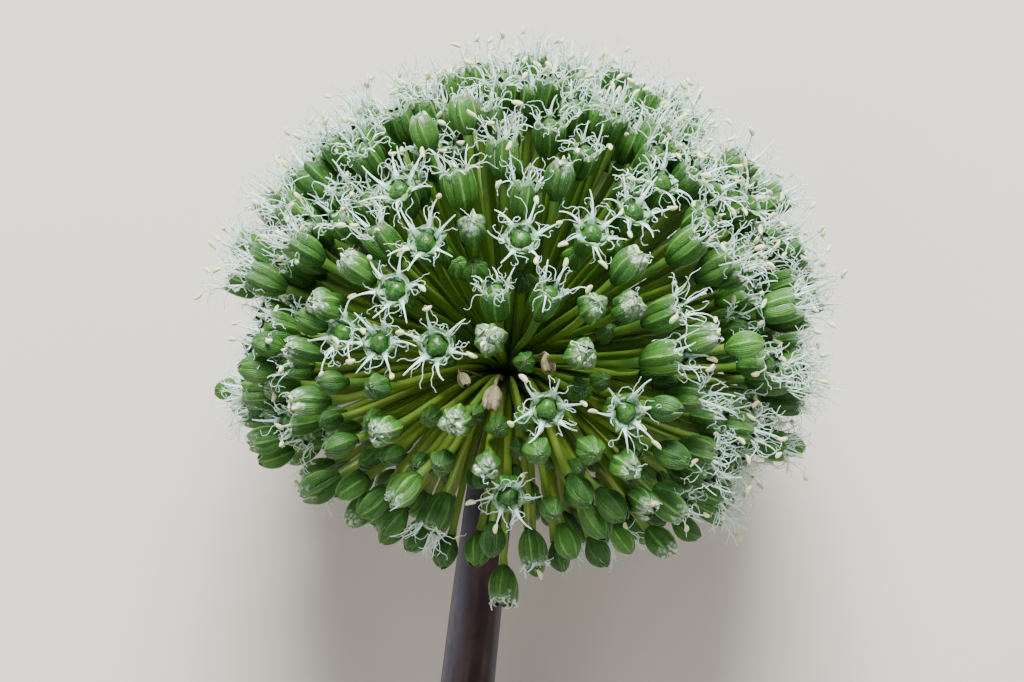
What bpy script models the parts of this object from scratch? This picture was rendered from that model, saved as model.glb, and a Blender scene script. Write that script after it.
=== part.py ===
"""Flower head of a wild leek, an allium, picked with a length of its scape and laid on its side.

Lengths are in metres and +Z is up. The head rests on the florets that its weight presses flat, and the
scape slopes down to its cut end. Inside the script the plant has a frame of its own: its origin is the
receptacle, where every flower stalk starts, with RIGHT, GROWTH (up along the scape) and FRONT (the side
that faces up as it lies).
"""

import math
import random

import bpy
from mathutils import Vector

MM = 0.001

# The scape, the leafless stem that carries the head
SCAPE_LENGTH = 84 * MM
SCAPE_TOP_RADIUS = 2.7 * MM
SCAPE_END_RADIUS = 4.1 * MM
SCAPE_BOW = 3.0 * MM
SCAPE_SIDES = 18
SCAPE_STEPS = 9
SCAPE_TOP_BELOW_RECEPTACLE = 4.5 * MM

# The receptacle, which the stalks stand out of
CORE_RADIUS = 7.0 * MM
CORE_SUBDIVISIONS = 2
SOCKET_GAP = 0.3 * MM
SOCKET_SIDES = 18

# How far the florets reach from the receptacle: longest at the top of the head, shortest round the scape
REACH_TOP = 41.2 * MM
REACH_BELOW = 22.5 * MM
REACH_TURN = math.radians(112)
REACH_BLEND = math.radians(30)
REACH_SHORT = 1.4 * MM
REACH_LONG = 0.4 * MM

# The head is fuller towards its upper right
FULLER_RIGHT = 0.033

# The florets, spread by the golden angle from the head's top down to the scape
FLORETS = 225
LOWEST_FLORET = math.radians(146)
GOLDEN_ANGLE = math.pi * (3 - math.sqrt(5))
TILT_SPREAD = math.radians(2.2)
SEED = 11

# The photographed florets keep their places, and the others make room for them
SPACING_STEPS = 60
SPACING_REACH = 0.5
SPACING_PUSH = 0.005

# One floret, a little larger than life so that they cover the head
STALK_FOOT = 4.6 * MM
STALK_FOOT_RADIUS = 0.48 * MM
STALK_TOP_RADIUS = 0.62 * MM
CUP_LENGTH = 5.4 * MM
CUP_RADIUS = 2.75 * MM
CUP_BELLY = 0.34
MOUTH_RADIUS = 2.2 * MM
MOUTH_DEPTH = 0.5 * MM
STAMEN_REACH = 2.6 * MM
STAMEN_SPREAD = 3.3 * MM
BUD_RADIUS = 2.3 * MM
BUD_LENGTH = 5.2 * MM
BUD_SHOULDER = 0.72
BUD_SHOULDER_RADIUS = 1.75 * MM
TEPALS = 6

# Which florets are open: nearly all at the top, few below
OPEN_SHARE_TOP = 0.97
OPEN_SHARE_BELOW = 0.2
OPEN_TURN = math.radians(88)
OPEN_BLEND = math.radians(16)
OPEN_LOWER_ON_RIGHT = math.radians(16)

# The photograph: its middle, where the receptacle is in it, and how the camera stood
PHOTO_MIDDLE = (512, 341)
RECEPTACLE_PIXEL = (505, 385)
PIXELS_PER_METRE = 8400
VIEW_DISTANCE = 300 * MM
VIEW_RISE = math.radians(10)
VIEW_ROLL = math.radians(8)
SIGHT_STEPS = 6

# Florets that the photograph shows, each by the pixel at the middle of its cup. Those that lean have
# bent stalks, which turn the cup further outward.
FLOWERS = (
    (545, 408), (620, 411), (440, 348), (400, 295), (429, 249), (520, 246), (588, 240), (385, 345),
    (350, 336), (508, 491), (628, 220), (705, 198), (404, 200), (655, 192), (738, 212),
)
LEANING_FLOWERS = (
    (497, 303), (545, 303), (503, 160), (525, 202), (460, 190), (662, 315), (662, 358), (686, 396),
    (684, 248), (715, 268), (385, 245), (437, 512), (698, 450), (705, 492), (735, 425), (766, 444),
    (766, 379), (776, 308), (262, 391), (268, 281), (306, 250), (321, 180), (366, 152), (650, 142),
    (688, 166), (600, 122), (300, 215),
)
BUDS = (
    (490, 340), (456, 421), (487, 465), (580, 355), (627, 308), (592, 308), (473, 231), (385, 430),
    (325, 306), (537, 450), (589, 449), (443, 462), (551, 508), (378, 387), (640, 502), (625, 465),
)
LEANING_BUDS = (
    (425, 134), (465, 114), (358, 270), (305, 350), (310, 402), (268, 438), (320, 485), (352, 487),
    (372, 503), (395, 521), (405, 490), (340, 445), (332, 382), (258, 370), (268, 345), (312, 321),
    (568, 542), (532, 548), (492, 540), (622, 540), (595, 522), (580, 491), (612, 505), (668, 505),
    (686, 528), (672, 455), (665, 408), (700, 340), (745, 345), (628, 268), (560, 180),
)
LEAN = math.radians(32)

# The one bud that hangs below the rest, in front of the scape
LONE_BUD = (503, 585)
LONE_BUD_DEPTH = 7.0 * MM

# How it lies. PRESS is how far past the surface a floret's tip would go if its stalk didn't give way.
HEAD_HEIGHT = 31.8 * MM
HEAD_Y = 19.6 * MM
HEAD_X = -0.56 * MM
END_SINK = 0.28 * MM
PRESS = 0.4 * MM

SLOPE = math.asin((HEAD_HEIGHT - SCAPE_END_RADIUS + END_SINK) / SCAPE_LENGTH)
RECEPTACLE = Vector((HEAD_X, HEAD_Y, HEAD_HEIGHT))
RIGHT = Vector((1, 0, 0))
GROWTH = Vector((0, math.cos(SLOPE), math.sin(SLOPE)))
FRONT = Vector((0, -math.sin(SLOPE), math.cos(SLOPE)))

# The photograph's own directions: towards the camera, and across and up its picture
VIEW = GROWTH * math.sin(VIEW_RISE) + FRONT * math.cos(VIEW_RISE)
LEVEL = GROWTH * math.cos(VIEW_RISE) - FRONT * math.sin(VIEW_RISE)
ACROSS = RIGHT * math.cos(VIEW_ROLL) + LEVEL * math.sin(VIEW_ROLL)
UPWARD = LEVEL * math.cos(VIEW_ROLL) - RIGHT * math.sin(VIEW_ROLL)

LEAF_GREEN = (0.10, 0.25, 0.06)
SCAPE_PURPLE = (0.16, 0.09, 0.10)


def clear_scene():
    for obj in list(bpy.data.objects):
        bpy.data.objects.remove(obj)


def material(name, colour, roughness):
    made = bpy.data.materials.new(name)
    made.use_nodes = True
    shader = made.node_tree.nodes["Principled BSDF"]
    shader.inputs["Base Color"].default_value = (*colour, 1)
    shader.inputs["Roughness"].default_value = roughness
    shader.inputs["Metallic"].default_value = 0
    return made


def mesh_object(name, points, faces, collection=None):
    mesh = bpy.data.meshes.new(name)
    mesh.from_pydata([tuple(point) for point in points], [], faces)
    obj = bpy.data.objects.new(name, mesh)
    (collection or bpy.context.scene.collection).objects.link(obj)
    return obj


def plant_point(right, growth, front):
    return RECEPTACLE + RIGHT * right + GROWTH * growth + FRONT * front


def above_ground(point):
    """What would go under the surface is pressed flat against it."""
    return Vector((point.x, point.y, max(point.z, 0)))


def ring(centre, side, other, radius, count, turn=0.0):
    angles = [turn + 2 * math.pi * i / count for i in range(count)]
    return [centre + (side * math.cos(a) + other * math.sin(a)) * radius for a in angles]


def strip(first, second, count):
    """Quads between two rings of the same count, given by the index of each ring's first point."""
    return [
        (first + i, first + (i + 1) % count, second + (i + 1) % count, second + i)
        for i in range(count)
    ]


def scape():
    """The stem: a round, slightly bowed taper from the receptacle down to its cut end."""
    points = []
    for step in range(SCAPE_STEPS + 1):
        share = step / SCAPE_STEPS
        along = SCAPE_TOP_BELOW_RECEPTACLE + share * (SCAPE_LENGTH - SCAPE_TOP_BELOW_RECEPTACLE)
        radius = SCAPE_TOP_RADIUS + (SCAPE_END_RADIUS - SCAPE_TOP_RADIUS) * share
        centre = plant_point(SCAPE_BOW * share**2, -along, 0)
        points += [above_ground(p) for p in ring(centre, RIGHT, FRONT, radius, SCAPE_SIDES)]
    faces = []
    for step in range(SCAPE_STEPS):
        faces += strip(step * SCAPE_SIDES, (step + 1) * SCAPE_SIDES, SCAPE_SIDES)
    faces.append(tuple(reversed(range(SCAPE_SIDES))))
    faces.append(tuple(SCAPE_STEPS * SCAPE_SIDES + i for i in range(SCAPE_SIDES)))
    obj = mesh_object("scape", points, faces)
    obj.data.materials.append(material("scape_skin", SCAPE_PURPLE, 0.55))
    obj.data.shade_smooth()
    obj.data.set_sharp_from_angle(angle=math.radians(40))
    return obj


def head_reach(direction):
    """How far from the receptacle a floret's tip is in a direction."""
    across, growth = direction.dot(RIGHT), direction.dot(GROWTH)
    theta = math.acos(max(-1, min(1, growth)))
    share = 0.5 * (1 + math.tanh((REACH_TURN - theta) / REACH_BLEND))
    reach = REACH_BELOW + (REACH_TOP - REACH_BELOW) * share
    return reach * (1 + FULLER_RIGHT * 2 * across * max(growth, 0))


def open_share(direction):
    """How many of the florets that face a direction are open."""
    theta = math.acos(direction.dot(GROWTH)) - OPEN_LOWER_ON_RIGHT * direction.dot(RIGHT)
    share = 0.5 * (1 + math.tanh((OPEN_TURN - theta) / OPEN_BLEND))
    return OPEN_SHARE_BELOW + (OPEN_SHARE_TOP - OPEN_SHARE_BELOW) * share


def heading(theta, phi):
    """A unit vector at theta from the head's top. phi is 0 on the right and a quarter turn in front."""
    across = RIGHT * math.cos(phi) + FRONT * math.sin(phi)
    return GROWTH * math.cos(theta) + across * math.sin(theta)


def line_of_sight(pixel):
    """The line through a pixel: its nearest point to the receptacle, from there, and its direction."""
    focal = PIXELS_PER_METRE * VIEW_DISTANCE
    ray = ACROSS * (pixel[0] - PHOTO_MIDDLE[0]) + UPWARD * (PHOTO_MIDDLE[1] - pixel[1]) - VIEW * focal
    ray.normalize()
    camera = VIEW * VIEW_DISTANCE
    camera += ACROSS * (PHOTO_MIDDLE[0] - RECEPTACLE_PIXEL[0]) / PIXELS_PER_METRE
    camera += UPWARD * (RECEPTACLE_PIXEL[1] - PHOTO_MIDDLE[1]) / PIXELS_PER_METRE
    return camera - ray * camera.dot(ray), ray


def seen_at(pixel, inset):
    """The near point, from the receptacle, where a pixel sees the layer that is inset from the tips."""
    nearest, ray = line_of_sight(pixel)
    point = nearest
    for _ in range(SIGHT_STEPS):
        radius = head_reach(point.normalized()) - inset
        point = nearest - ray * math.sqrt(max(radius**2 - nearest.length_squared, 0))
    return point


def leaning(direction, lean):
    """Turns a direction away from the camera by the lean, or until it lies square to the view."""
    toward = math.acos(direction.dot(VIEW))
    turned = min(toward + lean, max(toward, math.pi / 2))
    outward = (direction - VIEW * direction.dot(VIEW)).normalized()
    return VIEW * math.cos(turned) + outward * math.sin(turned)


def photographed_sites(draw):
    """The florets that the photograph shows: each cup's middle, axis, turn and whether it is open."""
    sites = []
    for pixels, is_open, lean in (
        (FLOWERS, True, 0), (LEANING_FLOWERS, True, LEAN), (BUDS, False, 0), (LEANING_BUDS, False, LEAN)
    ):
        for pixel in pixels:
            middle = seen_at(pixel, middle_inset(is_open))
            axis = leaning(middle.normalized(), lean)
            sites.append((middle, axis, draw.uniform(0, 2 * math.pi), is_open))
    nearest, ray = line_of_sight(LONE_BUD)
    lone = nearest - ray * LONE_BUD_DEPTH
    sites.append((lone, lone.normalized(), 0, False))
    return sites


def middle_inset(is_open):
    """How far the middle of a floret's cup is behind its tip."""
    return STAMEN_REACH + CUP_LENGTH / 2 if is_open else BUD_LENGTH / 2


def spiral(draw):
    """Directions spread evenly over the head."""
    directions = []
    for i in range(FLORETS):
        cosine = 1 - (1 - math.cos(LOWEST_FLORET)) * (i + 0.5) / FLORETS
        theta = math.acos(cosine) + draw.uniform(-1, 1) * TILT_SPREAD
        phi = i * GOLDEN_ANGLE + draw.uniform(-1, 1) * TILT_SPREAD / math.sin(theta)
        directions.append(heading(theta, phi))
    return directions


def clear_of_scape(direction):
    """Keeps a direction from pointing further down than the lowest florets."""
    lowest = math.cos(LOWEST_FLORET)
    growth = direction.dot(GROWTH)
    if growth >= lowest:
        return direction
    across = (direction - GROWTH * growth).normalized()
    return GROWTH * lowest + across * math.sin(LOWEST_FLORET)


def spaced_out(free, fixed):
    """Moves the free directions apart from each other and from the fixed ones."""
    for _ in range(SPACING_STEPS):
        everything = free + fixed
        moved = []
        for one in free:
            push = Vector()
            for other in everything:
                gap = one - other
                if 0 < gap.length < SPACING_REACH:
                    push += gap / gap.length_squared
            moved.append(clear_of_scape((one + push * SPACING_PUSH).normalized()))
        free = moved
    return free


def floret_sites():
    """Every floret: its cup's middle from the receptacle, its axis, its turn and whether it is open."""
    draw = random.Random(SEED)
    sites = photographed_sites(draw)
    fixed = [middle.normalized() for middle, _, _, _ in sites]
    free = spiral(draw)
    for direction in fixed:
        free.remove(max(free, key=direction.dot))
    for direction in spaced_out(free, fixed):
        reach = head_reach(direction) + draw.uniform(-REACH_SHORT, REACH_LONG)
        is_open = draw.random() < open_share(direction)
        if direction.z < 0:
            reach = min(reach, (RECEPTACLE.z + PRESS) / -direction.z)
        middle = direction * (reach - middle_inset(is_open))
        sites.append((middle, direction, draw.uniform(0, 2 * math.pi), is_open))
    return sites


def stalk_faces(cup_base):
    """Three sides from the foot to the top of a stalk, then out to the six points of the cup's belly."""
    faces = [(2, 1, 0)] + strip(0, 3, 3)
    for i in range(3):
        low, next_low = 3 + i, 3 + (i + 1) % 3
        first, middle, last = (cup_base + (2 * i + step) % TEPALS for step in range(3))
        faces += [(low, middle, first), (low, next_low, middle), (next_low, last, middle)]
    return faces


def floret(name, site, collection):
    """One floret on its stalk: a six-sided cup that ends in six stamens, or a closed bud."""
    middle, axis, turn, is_open = site
    length = CUP_LENGTH if is_open else BUD_LENGTH
    base = middle - axis * length / 2
    stalk = base.normalized()
    stalk_side = stalk.orthogonal().normalized()
    bend = stalk.rotation_difference(axis)
    side, other = bend @ stalk_side, bend @ stalk.cross(stalk_side)

    def place(along, radius, count, extra=0.0):
        return ring(RECEPTACLE + base + axis * along, side, other, radius, count, turn + extra)

    foot = RECEPTACLE + stalk * STALK_FOOT
    points = ring(foot, stalk_side, stalk.cross(stalk_side), STALK_FOOT_RADIUS, 3, turn)
    points += place(0, STALK_TOP_RADIUS, 3)
    belly = len(points)
    shoulder = belly + TEPALS
    faces = stalk_faces(belly) + strip(belly, shoulder, TEPALS)
    centre = shoulder + TEPALS
    if is_open:
        points += place(CUP_BELLY * length, CUP_RADIUS, TEPALS) + place(length, MOUTH_RADIUS, TEPALS)
        points.append(RECEPTACLE + base + axis * (length - MOUTH_DEPTH))
        points += place(length + STAMEN_REACH, STAMEN_SPREAD, TEPALS, math.pi / TEPALS)
        for i in range(TEPALS):
            first, second, stamen = shoulder + i, shoulder + (i + 1) % TEPALS, centre + 1 + i
            faces += [(first, second, stamen), (second, centre, stamen), (centre, first, stamen)]
    else:
        points += place(CUP_BELLY * length, BUD_RADIUS, TEPALS)
        points += place(BUD_SHOULDER * length, BUD_SHOULDER_RADIUS, TEPALS)
        points.append(RECEPTACLE + base + axis * length)
        faces += [(shoulder + i, shoulder + (i + 1) % TEPALS, centre) for i in range(TEPALS)]
    return mesh_object(name, [above_ground(point) for point in points], faces, collection)


def receptacle():
    """The rounded top of the stem, which every stalk is sunk into."""
    bpy.ops.mesh.primitive_ico_sphere_add(
        subdivisions=CORE_SUBDIVISIONS, radius=CORE_RADIUS, location=RECEPTACLE
    )
    core = bpy.context.object
    core.name = "umbel"
    return core


def socket_cutter():
    """A plain round hole up into the receptacle, which the scape's top stands in."""
    radius = SCAPE_TOP_RADIUS + SOCKET_GAP
    top = -SCAPE_TOP_BELOW_RECEPTACLE + SOCKET_GAP
    points = ring(plant_point(0, top, 0), RIGHT, FRONT, radius, SOCKET_SIDES)
    points += ring(plant_point(0, -2 * CORE_RADIUS, 0), RIGHT, FRONT, radius, SOCKET_SIDES)
    faces = strip(0, SOCKET_SIDES, SOCKET_SIDES)
    faces.append(tuple(reversed(range(SOCKET_SIDES))))
    faces.append(tuple(SOCKET_SIDES + i for i in range(SOCKET_SIDES)))
    cutter = mesh_object("socket_cutter", points, faces)
    cutter.hide_render = True
    cutter.display_type = "WIRE"
    return cutter


def apply_modifiers(obj):
    """Makes the evaluated mesh the object's own."""
    graph = bpy.context.evaluated_depsgraph_get()
    mesh = bpy.data.meshes.new_from_object(obj.evaluated_get(graph), depsgraph=graph)
    obj.modifiers.clear()
    obj.data = mesh


def umbel():
    """The receptacle with every stalk and floret grown into it, as one solid."""
    core = receptacle()
    florets = bpy.data.collections.new("florets")
    bpy.context.scene.collection.children.link(florets)
    for i, site in enumerate(floret_sites()):
        floret(f"floret_{i}", site, florets)
    union = core.modifiers.new("florets", "BOOLEAN")
    union.operation = "UNION"
    union.operand_type = "COLLECTION"
    union.collection = florets
    union.solver = "MANIFOLD"
    apply_modifiers(core)
    for obj in list(florets.objects):
        bpy.data.objects.remove(obj)
    bpy.data.collections.remove(florets)

    cut = core.modifiers.new("socket", "BOOLEAN")
    cut.operation = "DIFFERENCE"
    cut.solver = "MANIFOLD"
    cut.object = socket_cutter()
    apply_modifiers(core)
    bpy.data.objects.remove(bpy.data.objects["socket_cutter"])
    core.data.materials.clear()
    core.data.materials.append(material("umbel_green", LEAF_GREEN, 0.5))
    return core


clear_scene()
scape()
umbel()
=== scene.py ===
"""Looks of a wild leek's flower head, laid on its side: florets in detail, their stalks and the scape.

Lengths are in metres and +Z is up. The florets that the CAD model has keep their places here, so the first
part of this file lays them out by the same rule as the CAD does, from the same driving dimensions.
"""

import math
import random

import bpy
import numpy as np
from mathutils import Matrix, Vector


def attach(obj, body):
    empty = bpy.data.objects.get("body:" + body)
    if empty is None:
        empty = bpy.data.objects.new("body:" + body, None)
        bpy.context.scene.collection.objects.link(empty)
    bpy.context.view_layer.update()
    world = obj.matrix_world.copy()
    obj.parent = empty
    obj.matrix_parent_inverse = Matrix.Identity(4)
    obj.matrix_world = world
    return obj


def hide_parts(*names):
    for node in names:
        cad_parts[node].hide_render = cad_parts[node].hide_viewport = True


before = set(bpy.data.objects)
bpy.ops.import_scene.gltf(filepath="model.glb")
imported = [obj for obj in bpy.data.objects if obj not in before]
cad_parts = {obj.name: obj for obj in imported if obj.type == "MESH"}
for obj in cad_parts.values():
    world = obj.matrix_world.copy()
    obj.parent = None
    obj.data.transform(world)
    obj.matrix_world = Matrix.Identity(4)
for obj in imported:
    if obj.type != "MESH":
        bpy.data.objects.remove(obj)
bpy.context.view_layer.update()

MM = 0.001

# The scape, the leafless stem that carries the head
SCAPE_LENGTH = 84 * MM
SCAPE_TOP_RADIUS = 2.7 * MM
SCAPE_END_RADIUS = 4.1 * MM
SCAPE_BOW = 3.0 * MM
SCAPE_TOP_BELOW_RECEPTACLE = 4.5 * MM

# How far the florets reach from the receptacle
REACH_TOP = 41.2 * MM
REACH_BELOW = 22.5 * MM
REACH_TURN = math.radians(112)
REACH_BLEND = math.radians(30)
REACH_SHORT = 1.4 * MM
REACH_LONG = 0.4 * MM
FULLER_RIGHT = 0.033

# The florets of the CAD model, and the size that it gives them
FLORETS = 225
LOWEST_FLORET = math.radians(146)
GOLDEN_ANGLE = math.pi * (3 - math.sqrt(5))
TILT_SPREAD = math.radians(2.2)
SEED = 11
SPACING_STEPS = 60
SPACING_REACH = 0.5
SPACING_PUSH = 0.005
CAD_CUP_LENGTH = 5.4 * MM
CAD_STAMEN_REACH = 2.6 * MM
CAD_BUD_LENGTH = 5.2 * MM

# Which florets are open: nearly all at the top, few below
OPEN_SHARE_TOP = 0.97
OPEN_SHARE_BELOW = 0.2
OPEN_TURN = math.radians(88)
OPEN_BLEND = math.radians(16)
OPEN_LOWER_ON_RIGHT = math.radians(16)

# The photograph: its middle, where the receptacle is in it, and how the camera stood
PHOTO_WIDTH = 1024
PHOTO_MIDDLE = (512, 341)
RECEPTACLE_PIXEL = (505, 385)
PIXELS_PER_METRE = 8400
VIEW_DISTANCE = 300 * MM
VIEW_RISE = math.radians(10)
VIEW_ROLL = math.radians(8)
SIGHT_STEPS = 6

# Florets that the photograph shows, each by the pixel at the middle of its cup
FLOWERS = (
    (545, 408), (620, 411), (440, 348), (400, 295), (429, 249), (520, 246), (588, 240), (385, 345),
    (350, 336), (508, 491), (628, 220), (705, 198), (404, 200), (655, 192), (738, 212),
)
LEANING_FLOWERS = (
    (497, 303), (545, 303), (503, 160), (525, 202), (460, 190), (662, 315), (662, 358), (686, 396),
    (684, 248), (715, 268), (385, 245), (437, 512), (698, 450), (705, 492), (735, 425), (766, 444),
    (766, 379), (776, 308), (262, 391), (268, 281), (306, 250), (321, 180), (366, 152), (650, 142),
    (688, 166), (600, 122), (300, 215),
)
# The photographed buds, each with how far its white tip has opened, which is 0 for a shut one
BUDS = {
    (490, 340): 0.55, (456, 421): 0.42, (487, 465): 0.42, (580, 355): 0.36, (627, 308): 0.42,
    (592, 308): 0.30, (473, 231): 0.38, (385, 430): 0.34, (325, 306): 0.38, (537, 450): 0,
    (589, 449): 0, (443, 462): 0, (551, 508): 0, (378, 387): 0, (640, 502): 0.42, (625, 465): 0.34,
}
LEANING_BUDS = {
    (425, 134): 0.36, (465, 114): 0.40, (358, 270): 0.42, (305, 350): 0.40, (310, 402): 0.50,
    (268, 438): 0.34, (320, 485): 0.24, (352, 487): 0, (372, 503): 0, (395, 521): 0, (405, 490): 0.34,
    (340, 445): 0, (332, 382): 0, (258, 370): 0, (268, 345): 0, (312, 321): 0, (568, 542): 0,
    (532, 548): 0.64, (492, 540): 0, (622, 540): 0, (595, 522): 0, (580, 491): 0, (612, 505): 0,
    (668, 505): 0.34, (686, 528): 0, (672, 455): 0, (665, 408): 0, (700, 340): 0.40, (745, 345): 0,
    (628, 268): 0.48, (560, 180): 0.46,
}
LONE_BUD = (503, 585)
WHITE_TIPS = {**BUDS, **LEANING_BUDS, LONE_BUD: 0.66}
LONE_BUD_DEPTH = 7.0 * MM

# How much further out than its stalk a leaning floret points
LEAN = math.radians(32)

# How it lies
HEAD_HEIGHT = 31.8 * MM
HEAD_Y = 19.6 * MM
HEAD_X = -0.56 * MM
END_SINK = 0.28 * MM
PRESS = 0.4 * MM

SLOPE = math.asin((HEAD_HEIGHT - SCAPE_END_RADIUS + END_SINK) / SCAPE_LENGTH)
RECEPTACLE = Vector((HEAD_X, HEAD_Y, HEAD_HEIGHT))
RIGHT = Vector((1, 0, 0))
GROWTH = Vector((0, math.cos(SLOPE), math.sin(SLOPE)))
FRONT = Vector((0, -math.sin(SLOPE), math.cos(SLOPE)))
VIEW = GROWTH * math.sin(VIEW_RISE) + FRONT * math.cos(VIEW_RISE)
LEVEL = GROWTH * math.cos(VIEW_RISE) - FRONT * math.sin(VIEW_RISE)
ACROSS = RIGHT * math.cos(VIEW_ROLL) + LEVEL * math.sin(VIEW_ROLL)
UPWARD = LEVEL * math.cos(VIEW_ROLL) - RIGHT * math.sin(VIEW_ROLL)
CAMERA = VIEW * VIEW_DISTANCE
CAMERA += ACROSS * (PHOTO_MIDDLE[0] - RECEPTACLE_PIXEL[0]) / PIXELS_PER_METRE
CAMERA += UPWARD * (RECEPTACLE_PIXEL[1] - PHOTO_MIDDLE[1]) / PIXELS_PER_METRE

# How far a floret has opened, from 0 to 1: where its tip starts to show white, and where it is a flower
OPENING_FROM = 0.15
FLOWER_FROM = 0.6
FULLY_OUT_FROM = 0.7
OPENED_FLOWER = (0.72, 1.0)
OPENED_BUD = (0.25, 0.5)
SHUT_SHARE = 0.62

# The size and the tint of each kind of floret, each drawn from a range
FLOWER_RANGES = ((0.92, 1.05), (0.25, 1))
WHITE_TIPPED_RANGES = ((0.9, 1.02), (0.1, 0.8))
OPENING_RANGES = ((0.88, 1.0), (0.3, 0.9))
SHUT_RANGES = ((0.74, 0.94), (-0.1, 0.9))
YOUNG_RANGES = ((0.66, 0.78), (0, 0.4))
FACING_SHUT_TINT = 0.4

# Young buds that the photograph shows between the others, on shorter stalks
YOUNG_BUDS = (
    (525, 362), (600, 381), (432, 416), (498, 426), (524, 420), (460, 269), (522, 282), (574, 258),
    (575, 468), (665, 385), (300, 432), (330, 420), (392, 455), (370, 460), (420, 462), (630, 438),
)
YOUNG_DEPTH = 0.84

# The rest of the young buds fill the head between the stalks, clear of the dark hollow in its middle
FILLING = 150
FILLING_DEPTHS = (0.50, 0.86)
FILLING_SIZES = (0.55, 0.82)
FILLING_TINTS = (0, 0.35)
HOLLOW = (522, 378)
HOLLOW_RADIUS = 4.0 * MM

# Above this share of the way up, all florets that the photograph doesn't show are open
OPEN_ABOVE = 0.12

# More open florets stand between those of the CAD model, around the side that the camera sees
MORE_FLOWERS = 640
MORE_LOWEST = math.radians(104)
MORE_OFF_VIEW = math.radians(45)
MORE_APART = math.radians(4.3)
MORE_DEPTHS = (0.86, 1.02)
MORE_SIZES = (0.86, 1.0)
MORE_TINTS = (0.2, 0.9)
MORE_AT_TOP = 0.075
MORE_DEPTH_MOST = 1.03
MORE_NEAREST_FLOOR = 0.98

# The head is a little flatter on its left than the CAD model's rule makes it
LEFT_PULL = 6.0 * MM
LEFT_FROM = 0.75
LEFT_BLEND = 0.15
LEFT_HEIGHT = 0.25
LEFT_BAND = 0.16

# Withered florets: the pixel of each, the pixel that its stalk bends at, its size and its depth
WITHERED = (
    ((493, 398), (498, 371), 1.0, 0.70),
    ((463, 379), (456, 366), 0.62, 0.62),
    ((548, 363), (545, 350), 0.78, 0.62),
)

# One floret's real sizes, in millimetres. An anther's are ranges. The inner filaments are the wider ones.
CUP_LENGTH = 4.9
FLOWER_RADIUS = 1.98
OPENING_RADIUS = 1.90
BUD_RADIUS = 1.78
FILAMENT_WIDTHS = (0.46, 0.56)
THREAD_RADII = (0.080, 0.055, 0.036)
ANTHER_LENGTH = (0.54, 0.72)
ANTHER_RADIUS = (0.25, 0.32)
OVARY_RADIUS = 1.22
STALK_RADII = (0.47, 0.39, 0.47)
DOME_RADIUS = 3.5
WITHERED_LENGTH = 2.8
WITHERED_RADIUS = 1.05
WITHERED_STALK_RADIUS = 0.20

# Counts, and the lowest that any point lies
TEPALS = 6
TEPAL_COLUMNS = 11
TUFT_THREADS = 4
LOWEST_POINT = 0.03 * MM

# The radius of a cup at steps along it, as a share of its widest: shut like a bud, or open like a bell
STEPS_ALONG = (0, 0.1, 0.2, 0.3, 0.4, 0.5, 0.6, 0.7, 0.8, 0.9, 0.96, 1.0)
SHUT_PROFILE = (0.26, 0.50, 0.70, 0.85, 0.95, 1.0, 0.99, 0.93, 0.80, 0.59, 0.42, 0.22)
OPEN_PROFILE = (0.28, 0.54, 0.73, 0.86, 0.93, 0.97, 1.0, 1.01, 1.01, 1.0, 0.99, 0.98)

# The receptacle's outline down from its top, in millimetres, with the worn ring that the sheath left
DOME_STEPS = (0, 0.35, 0.62, 0.74, 0.80, 1)
DOME_RADII = (0, 3.3, 3.7, 3.1, 3.35, 2.72)
DOME_HEIGHTS = (3.3, 1.9, -0.6, -1.9, -2.2, -5.4)


class Patches:
    """Grids of points that become one mesh, each with a place of its own on the mesh's map."""

    def __init__(self):
        self.points, self.faces, self.places, self.marks = [], [], [], []
        self.count = 0

    def add(self, grid, marks, around=True):
        """Adds a grid of rows by columns by 3, closed round or open, with four marks for each point."""
        rows, columns = grid.shape[:2]
        index = self.count + np.arange(rows * columns).reshape(rows, columns)
        if around:
            index = np.concatenate([index, index[:, :1]], axis=1)
        self.points.append(grid.reshape(-1, 3))
        self.marks.append(marks.reshape(-1, 4))
        self.faces.append(corners(index))
        v, u = np.meshgrid(np.linspace(0, 1, rows), np.linspace(0, 1, index.shape[1]), indexing="ij")
        self.places.append(corners(np.stack([u, v], axis=-1)))
        self.count += rows * columns

    def mesh(self, name):
        side = math.ceil(math.sqrt(len(self.faces)))
        margin = 0.06
        places = []
        for cell, place in enumerate(self.places):
            corner = np.array([cell % side, cell // side])
            places.append((corner + margin + place.reshape(-1, 2) * (1 - 2 * margin)) / side)
        points, faces = np.concatenate(self.points), np.concatenate(self.faces)
        mesh = bpy.data.meshes.new(name)
        mesh.vertices.add(len(points))
        mesh.vertices.foreach_set("co", points.astype(np.float32).ravel())
        mesh.loops.add(faces.size)
        mesh.loops.foreach_set("vertex_index", faces.astype(np.int32).ravel())
        mesh.polygons.add(len(faces))
        mesh.polygons.foreach_set("loop_start", np.arange(0, faces.size, 4, dtype=np.int32))
        mesh.update(calc_edges=True)
        mesh.shade_smooth()
        uv = mesh.uv_layers.new(name="OFBake")
        uv.data.foreach_set("uv", np.concatenate(places).astype(np.float32).ravel())
        marks = mesh.attributes.new("marks", "FLOAT_COLOR", "POINT")
        marks.data.foreach_set("color", np.concatenate(self.marks).astype(np.float32).ravel())
        return mesh


def corners(grid):
    """The four corners of every cell of a grid, in order round the cell."""
    cells = np.stack([grid[:-1, :-1], grid[:-1, 1:], grid[1:, 1:], grid[1:, :-1]], axis=2)
    return cells.reshape(-1, 4, *grid.shape[2:])


def marked(grid, *marks):
    """A grid of points with four marks for each of them, from numbers, columns or rows."""
    return grid, np.stack([np.broadcast_to(mark, grid.shape[:2]) for mark in marks], axis=-1)


def round_steps(columns):
    """Angles all the way round, as a row."""
    return np.linspace(0, math.tau, columns, endpoint=False)[None, :]


def revolved(radius, angle, height):
    """A grid of points round an axis."""
    return np.stack(np.broadcast_arrays(radius * np.cos(angle), radius * np.sin(angle), height), axis=-1)


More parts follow.
